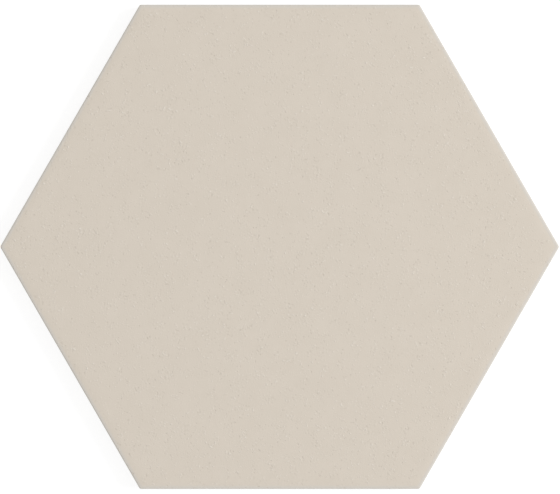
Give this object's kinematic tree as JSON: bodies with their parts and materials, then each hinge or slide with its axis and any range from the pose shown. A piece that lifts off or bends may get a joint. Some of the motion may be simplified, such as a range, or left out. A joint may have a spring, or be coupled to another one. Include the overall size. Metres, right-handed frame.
{
  "type": "hexagon floor tile",
  "caption": "Plain hexagonal floor tile of matt porcelain stoneware, with a slightly cushioned edge, sides that lean in at the foot and a honeycomb-keyed back.",
  "frame": {"origin": "middle of the bedding plane, on the back of the tile", "axes": "+Z out of the face, +X from the middle to a corner, +Y square to one side"},
  "size_m": [0.2514, 0.218, 0.009],
  "materials": {
    "porcelain": "matt, fine-grained"
  },
  "bodies": {
    "root": {"hexagon_tile": "porcelain"}
  },
  "joints": []
}
